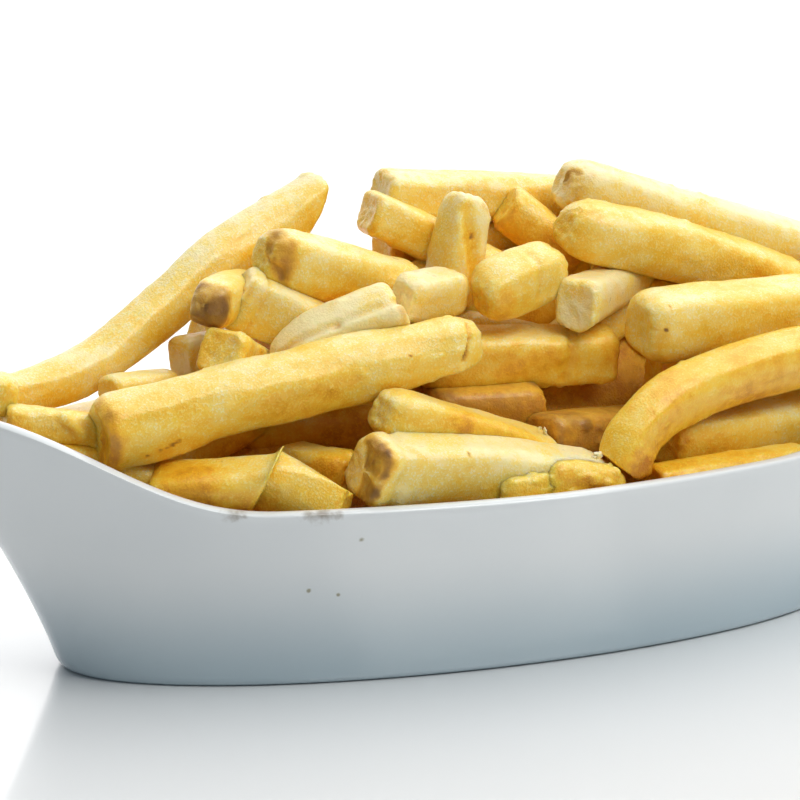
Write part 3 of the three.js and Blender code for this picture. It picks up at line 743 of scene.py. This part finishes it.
def cutOff(points, cuts, rounding):
    # What is beyond a plane is drawn back to it: (s + sqrt(s^2 + r^2)) / 2 along its facing. Also
    # returns how much of the surface lies on a cut.
    onCut = np.zeros(points.shape[:-1])
    for place, facing in cuts:
        facing = np.array(facing) / np.linalg.norm(facing)
        beyond = (points - place) @ facing
        points = points - ((beyond + np.sqrt(beyond**2 + rounding**2)) / 2)[..., None] * facing
        onCut = np.maximum(onCut, smooth(-0.3, 0.3, beyond))
    return points, onCut


def skinBumps(local, seed, shape, own):
    # Dents, lumps and grain of gradient noise; blisters rise where their noise is high, in some
    # patches, and where the fry's own share asks for more of them.
    (dent, dentHeight), (lump, lumpHeight) = shape["dents"], shape["lumps"]
    grain, grainHeight = shape["grain"]
    lumps = gradientNoise(local / lump, seed + 1)
    push = dentHeight * gradientNoise(local / dent, seed) + lumpHeight * lumps
    push = push + grainHeight * gradientNoise(local / grain, seed + 2)
    size, height = shape["blister"]
    patches = smooth(0.1, 0.5, gradientNoise(local / shape["blisterPatch"], seed + 3))
    blister = smooth(0.35 - 0.3 * own, 0.75 - 0.15 * own, gradientNoise(local / size, seed + 4))
    blister = blister * np.maximum(patches, own)
    return push + height * (1 + own) * blister, lumps, blister


def markShares(marks, t, angle, length, radius, ragged):
    # for each mark, 1 on its line over the unrolled skin, falling to 0 at its half width
    for t0, angle0, t1, angle1, half, push, brown in marks:
        way = np.array([(t1 - t0) * length, math.radians(angle1 - angle0) * radius])
        x = (t - t0) * length
        y = np.radians((angle - angle0 + 180) % 360 - 180) * radius
        share = np.clip((x * way[0] + y * way[1]) / max(way @ way, 1e-9), 0, 1)
        away = np.hypot(x - share * way[0], y - share * way[1]) / half
        yield smooth(1.0, 0.1, away + ragged), push, brown


def fryPart(row, seed, shape, look, coarser=1.0):
    # A bar from start to end, its middle bowed by 1 - (2t-1)^2, waved by sin(2 pi t) and swayed, and
    # its cuts leaning by their distance from the middle. Bumps move it along its own normals.
    start, end, wide, deep, roll, bow, startForm, endForm, tone = row[:9]
    wave = row[9] if len(row) > 9 else 0
    random = np.random.default_rng(seed)
    start, end = np.array(start, float), np.array(end, float)
    length = np.linalg.norm(end - start)
    along = (end - start) / length
    level = np.cross((0, 0, 1.0), along)
    level /= np.linalg.norm(level)
    upright = np.cross(along, level)
    forms = [shape["endForms"][form] for form in (startForm, endForm)]
    halves = [min(w, d) / 2 for w, d in zip(wide, deep)]
    half = np.mean(halves)
    at, scale, onCut = fryStations(length, halves, forms, shape["step"] * coarser)
    t = at / length
    count = round(shape["around"] / coarser)
    angle = np.arange(count) * 2 * np.pi / count
    u, v, radius = frySection(at, angle, half, seed, shape, look, random)
    size, share = shape["swell"]
    swell = 1 + share * gradientNoise(np.stack([at / size, at * 0 + seed, at * 0], -1), 3)
    across = u * scale * mix(*wide, t) / 2 * swell
    above = v * scale * mix(*deep, t) / 2 * (2 - swell)

    turn = np.radians(roll + shape["twist"] * random.uniform(-1, 1) * (2 * t - 1))
    side = level * np.cos(turn)[..., None] + upright * np.sin(turn)[..., None]
    sway = shape["sway"] * random.uniform(-1, 1, 2) * min(1, length / shape["swayLength"])
    if "path" in look:  # the section stays square to the curve's way
        middle, along = bezier(start, *look["path"], end, t)
        side = side - (side * along).sum(-1, keepdims=True) * along
        side = side / np.linalg.norm(side, axis=-1, keepdims=True)
    else:
        lift = bow * (1 - (2 * t - 1) ** 2) + wave * np.sin(2 * np.pi * t)
        middle = start + along * at[..., None] + upright * lift[..., None]
    top = np.cross(along, side)
    middle = middle + level * (sway[0] * np.sin(np.pi * t) + sway[1] * np.sin(2 * np.pi * t))[..., None]
    leans = random.uniform(-1, 1, (2, 2)) * shape["cutLean"]
    nearStart, nearEnd = smooth(0.28, 0, t), smooth(0.72, 1, t)
    lean = nearStart * (leans[0, 0] * across + (leans[0, 1] - forms[0]["slant"]) * above)
    lean = lean + nearEnd * (leans[1, 0] * across + (leans[1, 1] + forms[1]["slant"]) * above)
    grid = middle + side * across[..., None] + top * above[..., None] + along * lean[..., None]
    grid, onPlane = cutOff(grid, look.get("cuts", ()), look.get("rounding", 0.5))

    local = np.stack(np.broadcast_arrays(at * shape["drawnOut"], across, above), -1)
    local = local + random.uniform(0, 500, 3)
    push, lumps, blister = skinBumps(local, seed, shape, look.get("blister", 0))
    size, share = shape["markEdge"]
    ragged = share * gradientNoise(local / size, seed + 8)
    marked = orange = 0
    marks, degrees = look.get("marks", ()), np.degrees(angle)[None]
    for share, depth, brown in markShares(marks, t, degrees, length, half * 1.05, ragged):
        push = push + depth * share
        marked = np.maximum(marked, brown * share)
        orange = np.maximum(orange, -brown * share)
    hollow = np.where(t < 0.5, *look.get("hollow", (shape["cutHollow"],) * 2))
    fromMiddle = np.clip(scale / np.where(t < 0.5, forms[0]["tip"], forms[1]["tip"]), 0, 1)
    size, height = shape["cutPits"]
    pits = height * gradientNoise(local / size, seed + 5)
    push = (push + onCut * (pits - hollow * (1 - fromMiddle**2))) * smooth(0, 0.25, scale)
    grid = grid + gridNormals(grid) * push[..., None]

    corner = smooth(0.93, 1.12, radius)
    edge = smooth(0.55, 0.95, scale) * smooth(0.0, 0.35, onCut)
    rough = gradientNoise(local / shape["browning"], seed + 6)
    by = shape["toastBy"]
    toast = by["corner"] * corner * smooth(-0.2, 0.6, rough) + by["edge"] * edge * smooth(-0.3, 0.5, rough)
    toast = toast + by["blister"] * blister + by["lump"] * smooth(0.2, 0.8, lumps)
    toast = toast + marked + look.get("shade", 0)
    cutToast = np.where(t < 0.5, *look.get("toast", (0, 0)))
    toast = toast + cutToast * smooth(0.0, 0.4, onCut) * (1 + 0.4 * rough)
    toast = toast + edge * look.get("ring", 0) * nearStart * (1 + 0.5 * rough)
    by = shape["toneBy"]
    # painted light and shade: the tone goes paler where the surface faces up and deeper on the sides and
    # undersides
    rise = gridNormals(grid)[..., 2]
    tones = tone + by["drift"] * gradientNoise(local / shape["drift"], seed + 7)
    # the orange marks deepen the tone; on some fries they are painted shade
    tones = tones + by["edge"] * edge + by["corner"] * corner + by["mark"] * marked + orange
    tones = tones + by["top"] * smooth(0.35, 0.95, rise) + by["side"] * smooth(0.5, -0.2, rise)
    tones = tones + by["under"] * smooth(0.0, -0.8, rise)
    values = {"tone": tones, "toast": toast, "cut": np.maximum(onCut, onPlane)}
    values = {key: np.concatenate([a[0, :1], a.ravel(), a[-1, :1]]) for key, a in values.items()}
    return (*closedGrid(grid, grid[0].mean(0), grid[-1].mean(0)), values)


fryPieces = []
seed = 100
for group, rows in fries.items():
    coarser = 1.5 if group in ("deep", "far") else 1.0
    parts = []
    for name, row in rows.items():
        seed += 10
        parts.append(fryPart(row, seed, fryShape, looks.get(name, {}), coarser))
    fryPieces.append(makePiece(group + "Fries", parts, goldenCrust))


mound = {
    "gap": 0.6, "fillLevel": 31, "rise": 37, "crest": (18, 14),
    "left": 88, "right": 84, "front": 27, "back": 21, "backPower": 1.2, "drop": 9.0,
    "around": 180, "steps": 48, "sideSteps": 8,
    "bumps": (9, 1.6),  # size, height
    # tone: painted shade, deep orange for the hollows between the fries
    "tone": 0.82, "toneDrift": (7, 0.12), "toastDrift": (5, 0.1),  # size, share
}


def moundHeight(x, y):
    # the fill level plus the rise times 1 - (way along / reach)^2 and 1 - (way across / reach)^2, or
    # ^backPower behind the crest
    crestX, crestY = mound["crest"]
    along = 1 - ((x - crestX) / np.where(x < crestX, mound["left"], mound["right"])) ** 2
    front = 1 - ((y - crestY) / mound["front"]) ** 2
    back = 1 - np.maximum((y - crestY) / mound["back"], 0) ** mound["backPower"]
    across = np.where(y < crestY, front, back)
    return mound["fillLevel"] + mound["rise"] * np.clip(along, 0, 1) * np.clip(across, 0, 1)


def moundPart():
    # Inside the dish's side up to the fill level, then rings drawn in to the crest at the mound's
    # height less the drop, with bumps of gradient noise on top.
    angle = np.arange(mound["around"]) * 2 * np.pi / mound["around"]
    gap = mound["gap"]
    rings = [footRing(angle, dish["floorInset"] + dish["floorRound"] + gap, dish["floor"] + gap)]
    rimTop = rimHeight(oval(dish["rimHalf"], 0, dish["rimPower"], angle)[0])
    full = (mound["fillLevel"] - dish["floor"]) / (rimTop - dish["floor"])
    for level in np.linspace(0, 0.9, mound["sideSteps"]):
        ring = sidePoints(angle, mix(dish["floorShare"], full, level), dish["floorInset"], dish["floor"])
        shrink = 1 - gap / np.hypot(ring[:, 0], ring[:, 1])
        ring[:, :2] *= shrink[:, None]
        ring[:, 2] += gap
        rings.append(ring)
    outline = rings[-1]
    size, bump = mound["bumps"]
    for inwards in np.linspace(0, 1, mound["steps"] + 1)[1:-1]:
        place = mix(outline[:, :2], np.array(mound["crest"]), inwards)
        height = moundHeight(place[:, 0], place[:, 1])
        drop = mound["drop"] * smooth(0, 0.2, inwards) + (height - outline[:, 2]) * smooth(0.12, 0, inwards)
        bumps = bump * gradientNoise(np.column_stack([place / size, height / size]), 5)
        bumps = bumps * smooth(0, 0.15, inwards)
        rings.append(np.column_stack([place, height - drop + bumps]))
    grid = np.stack(rings)
    points, quads, triangles = closedGrid(grid, np.array([0, 0, dish["floor"] + gap]), grid[-1].mean(0))
    (size, share), (toastSize, toastShare) = mound["toneDrift"], mound["toastDrift"]
    tone = mound["tone"] + share * gradientNoise(points / size, 8)
    toast = toastShare * gradientNoise(points / toastSize, 9)
    return points, quads, triangles, {"tone": tone, "toast": toast, "cut": tone * 0}


heapCore = makePiece("heapMiddle", [moundPart()], deepCrust)


fillers = {
    "seed": 41,
    "rows": [(-3, -2.5), (4, -4), (11, -3), (18, -4), (25, -3), (31, -4.5),
             (0, -9), (8, -9), (15, -9), (22, -9), (28, -9)],  # y, depth
    "ends": [(-70, -8, -3), (68, -10, -3), (76, -4, -4), (-78, 4, -3), (84, 2, -3), (-62, -14, -4),
             (60, -18, -4)],  # x, y, depth
    "reach": (-88, 90), "pitch": 26, "shift": (6, 1.5),  # of the rows along x, and how far off a fry may lie
    "length": (30, 44), "thick": (8.5, 10.5), "yaw": 26, "roll": 20, "bow": 0.6, "tone": (0.35, 0.75),
    "clear": 5.7,  # from the dish's side to a fry's middle
    "lowest": 28,  # height of a fry's end
    "bareNear": 50,  # the near side has none closer than this to the middle
    "rim": (8, 156, 12, 9.8),  # angles, step and inset of the fries that lie along the far rim
    "rimDepth": 0.5, "rimShorter": 0.7,
}


def fillerRows(fillers):
    # Rows of fries laid over the mound, each from one point of its height to another, and the same
    # amount below it; one that would reach the dish's side is left out.
    random = np.random.default_rng(fillers["seed"])
    (left, right), pitch, (shiftX, shiftY) = fillers["reach"], fillers["pitch"], fillers["shift"]
    middles = [(x + random.uniform(-shiftX, shiftX), y + random.uniform(-shiftY, shiftY), low)
               for y, low in fillers["rows"]
               for x in np.arange(left + random.uniform(0, pitch), right, pitch)]
    middles = [(*middle, None) for middle in middles + fillers["ends"]]
    first, last, step, inset = fillers["rim"]
    for turn in np.radians(np.arange(first, last, step)):
        at, ahead = (np.array(oval(dish["rimHalf"], -inset, dish["rimPower"], turn + d)) for d in (0, 0.01))
        middles.append((*at, fillers["rimDepth"], math.atan2(*(ahead - at)[::-1])))
    for x, y, low, yaw in middles:
        half = random.uniform(*fillers["length"]) / 2 * (1 if yaw is None else fillers["rimShorter"])
        yaw = math.radians(random.uniform(-1, 1) * fillers["yaw"]) if yaw is None else yaw
        thick = random.uniform(*fillers["thick"], (2, 2))
        form = ("flat", "blunt", "round")[random.integers(3)]
        tone, roll = random.uniform(*fillers["tone"]), random.uniform(-fillers["roll"], fillers["roll"])
        ends = np.array([[-1], [1]]) * half * (math.cos(yaw), math.sin(yaw)) + (x, y)
        height = np.maximum(moundHeight(*ends.T) + low, fillers["lowest"])
        share = (height - thick[:, 0] / 2 - dish["floor"]) / (rimHeight(ends[:, 0]) - dish["floor"])
        share = np.clip(share, 0, 1) ** dish["flare"]
        foot, rim = np.array(dish["footHalf"]) - dish["floorInset"], np.array(dish["rimHalf"])
        halves = mix(foot, rim, share[:, None]) - fillers["clear"]
        power = mix(dish["footPower"], dish["rimPower"], share)[:, None]
        beyond = (np.abs(ends / halves) ** power).sum(1).max() > 1
        if beyond or (y < 0 and abs(x) < fillers["bareNear"]):
            continue
        start, end = np.column_stack([ends, height])
        yield start, end, (thick[0, 0],) * 2, (thick[1, 1],) * 2, roll, fillers["bow"], form, "flat", tone


fillParts = [fryPart(row, 5000 + 10 * i, fryShape, {}, 2.0) for i, row in enumerate(fillerRows(fillers))]
fryPieces.append(makePiece("fillFries", fillParts, goldenCrust))


crumbs = {
    "places": [((11.4, -35.0, 38.5), 1.3, 0.00), ((10.6, -35.0, 38.3), 0.9, 0.05),
               ((7.1, -22.0, 40.5), 1.0, 0.20), ((6.1, -22.0, 41.2), 0.8, 0.20)],  # place, size, tone
    "around": 18, "rings": 10, "seed": 9, "squeeze": (0.4, 1.3), "ragged": (1.9, 0.7),
    "toast": 0.05, "cut": 0.5,
}


def crumbParts(crumbs):
    # a ball whose radius is scaled by 1 + a share of gradient noise, squeezed along each axis
    turn = np.linspace(0, np.pi, crumbs["rings"] + 2)[1:-1, None]
    angle = np.arange(crumbs["around"])[None] * 2 * np.pi / crumbs["around"]
    ball = np.broadcast_arrays(np.sin(turn) * np.cos(angle), np.sin(turn) * np.sin(angle), -np.cos(turn))
    ball = np.stack(ball, -1)
    random = np.random.default_rng(crumbs["seed"])
    waves, uneven = crumbs["ragged"]
    for place, size, tone in crumbs["places"]:
        half = size / 2 * random.uniform(*crumbs["squeeze"], 3)
        swell = 1 + uneven * gradientNoise(ball * waves + random.uniform(0, 50, 3), 3)
        grid = place + ball * swell[..., None] * half
        points, quads, triangles = closedGrid(grid, grid[0].mean(0), grid[-1].mean(0))
        levels = {"tone": tone, "toast": crumbs["toast"], "cut": crumbs["cut"]}
        yield points, quads, triangles, {key: np.full(len(points), level) for key, level in levels.items()}


fryPieces.append(makePiece("crumbs", list(crumbParts(crumbs)), goldenCrust))
for piece in (*fryPieces, heapCore):
    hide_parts("fries")


table = {
    "half": 2500, "colour": (0.865, 0.865, 0.865), "roughness": (0.3, 0.34),
    "cloud": 3, "clouded": 0.985,  # waves to the metre, and what they take the colour down to
}


def tableTop(table):
    # one flat square under the dish, faintly clouded
    gloss = {"IOR": 1.5, "Coat_Weight": 1.0, "Coat_Roughness": 0.1, "Coat_IOR": 1.9}
    material, tree, shader = newMaterial("paleTable", **gloss)
    cloud = noiseNode(tree, table["cloud"], 2, (-600, 0))
    shade = tuple(c * table["clouded"] for c in table["colour"])
    tree.links.new(mixColour(tree, cloud, shade, table["colour"], (-200, 0)), shader.inputs["Base Color"])
    rough = rangeNode(tree, cloud, 0.3, 0.7, *table["roughness"], (-200, -200))
    tree.links.new(rough, shader.inputs["Roughness"])
    half = table["half"] * mm
    mesh = bpy.data.meshes.new("table")
    corners = [(-half, -half, 0), (half, -half, 0), (half, half, 0), (-half, half, 0)]
    mesh.from_pydata(corners, [], [(0, 1, 2, 3)])
    mesh.materials.append(material)
    top = bpy.data.objects.new("table", mesh)
    bpy.context.collection.objects.link(top)


tableTop(table)
print("table set")
